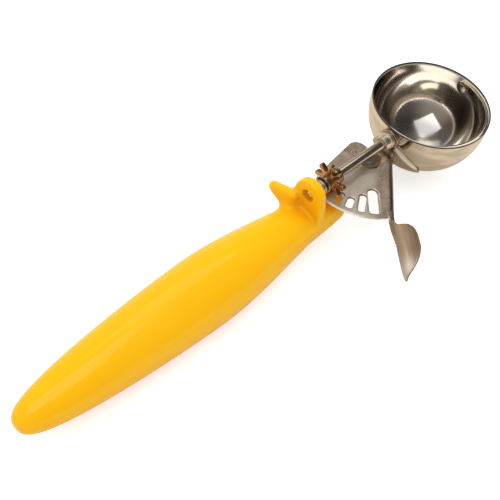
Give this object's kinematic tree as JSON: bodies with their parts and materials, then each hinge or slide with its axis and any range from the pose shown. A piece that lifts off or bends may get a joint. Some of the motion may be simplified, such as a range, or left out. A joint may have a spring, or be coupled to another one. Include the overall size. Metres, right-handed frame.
{
  "type": "lever ice cream scoop",
  "caption": "Hand scoop with a round moulded handle, a polished hemispherical bowl and a thumb lever that sweeps a curved ejector blade round the inside of the bowl.",
  "frame": {"origin": "centre of the bowl's mouth, in the plane of its rim", "axes": "+X from the handle's butt to the bowl along the drive shaft, +Z out of the bowl, +Y away from the thumb tab"},
  "size_m": [0.252, 0.0792, 0.0404],
  "materials": {
    "handle_plastic": "gloss moulded yellow plastic",
    "polished_stainless": "mirror-polished stainless steel",
    "brushed_stainless": "brushed stainless steel",
    "stamped_stainless": "tumbled stamped stainless steel",
    "spring_steel": "drawn stainless spring wire"
  },
  "bodies": {
    "handle_frame": {"handle": "handle_plastic", "shank": "brushed_stainless", "lever_spacer": "brushed_stainless", "lower_washer": "brushed_stainless", "upper_washer": "brushed_stainless", "lever_rivet": "polished_stainless", "bowl_saddle": "polished_stainless", "bowl": "polished_stainless", "front_bush": "polished_stainless", "far_pivot_rivet": "polished_stainless", "far_pivot_washer": "brushed_stainless", "return_spring": "spring_steel", "thrust_washer": "brushed_stainless"},
    "lever": {"lever_plate": "stamped_stainless"},
    "ejector": {"drive_shaft": "polished_stainless", "ejector_blade": "polished_stainless", "pinion": "stamped_stainless", "pinion_pin": "spring_steel", "spring_seat": "brushed_stainless"}
  },
  "joints": [
    {"name": "lever_pivot", "type": "hinge", "parent": "handle_frame", "child": "lever", "pos_m": [-0.039, 0, -0.0114], "axis": [0, 0, -1], "range_deg": [0, 42], "stiffness_Nm_per_rad": 0.3, "springref_deg": -34.38},
    {"name": "ejector_turn", "type": "hinge", "parent": "handle_frame", "child": "ejector", "pos_m": [0, 0, -0.0049], "axis": [1, 0, 0], "range_deg": [0, 176]}
  ],
  "couplings": [
    {"joint": "ejector_turn", "follows": "lever_pivot", "ratio": 4.1667}
  ]
}
